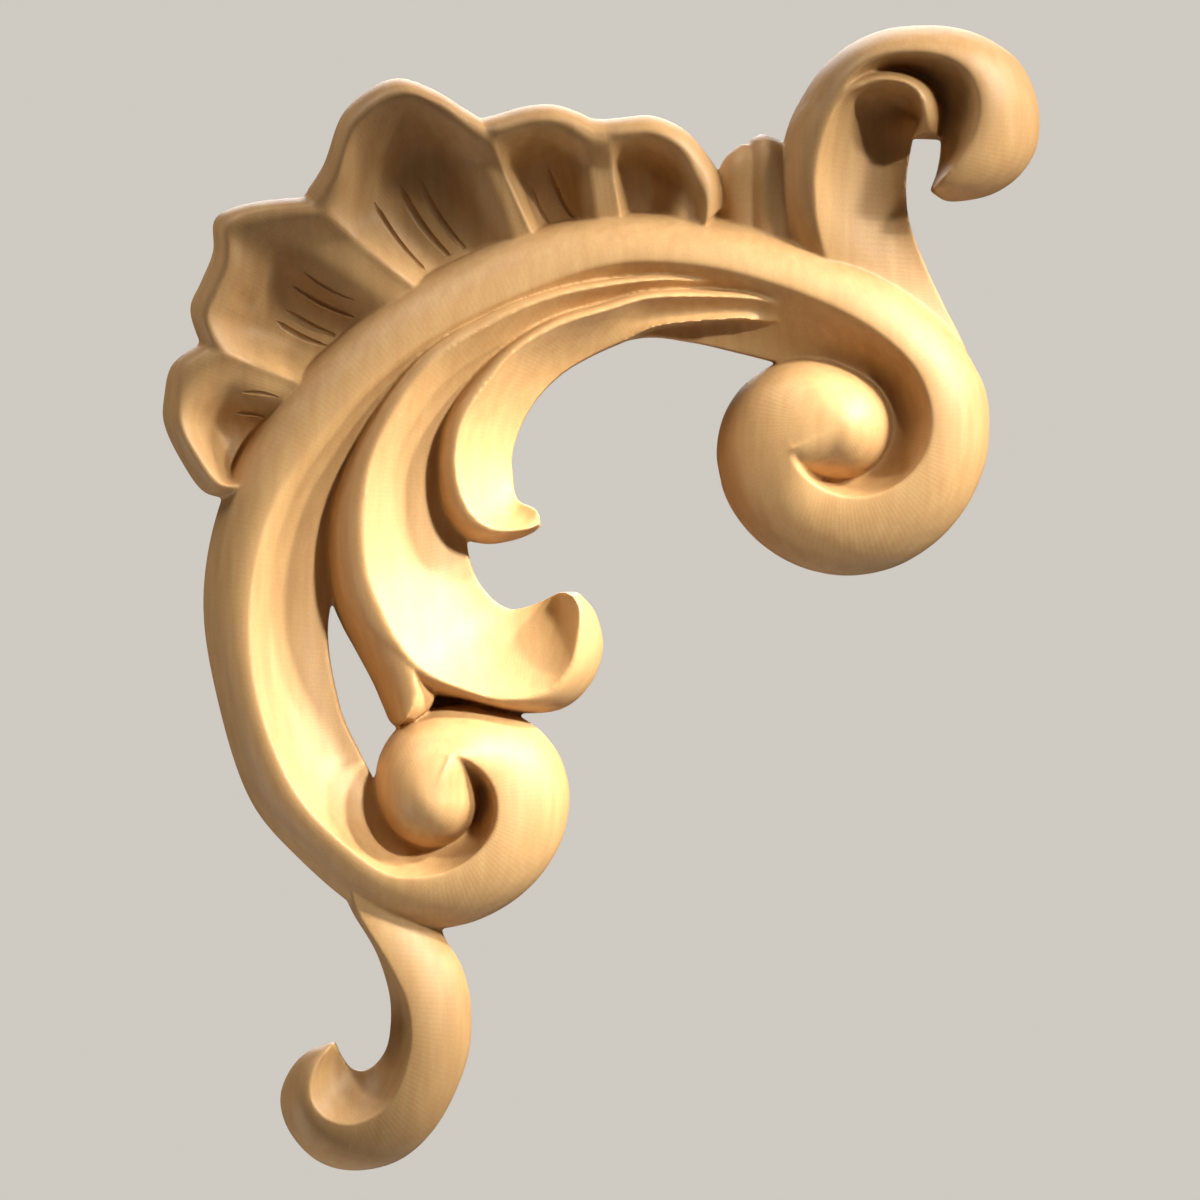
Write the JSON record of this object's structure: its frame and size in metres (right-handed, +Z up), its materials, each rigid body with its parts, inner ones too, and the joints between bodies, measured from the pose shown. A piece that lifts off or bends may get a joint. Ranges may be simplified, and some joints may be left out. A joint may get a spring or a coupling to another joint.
{
  "type": "acanthus corner onlay",
  "caption": "Carved wooden corner ornament: a C-scroll with rolled ends, acanthus leaves inside it, a fluted fan outside it, an upper hook and a lower tail, flat behind.",
  "frame": {"origin": "on the flat back, behind the root of the two leaves", "axes": "+Z up along the long side of the ornament, +X to the right as seen from the front, +Y straight back out of the flat back, so the carved front faces -Y"},
  "size_m": [0.1759, 0.0215, 0.2299],
  "materials": {
    "carved_wood": "bare fine pale wood, sanded smooth, with a soft satin sheen"
  },
  "bodies": {
    "root": {"acanthus_onlay": "carved_wood"}
  },
  "joints": []
}
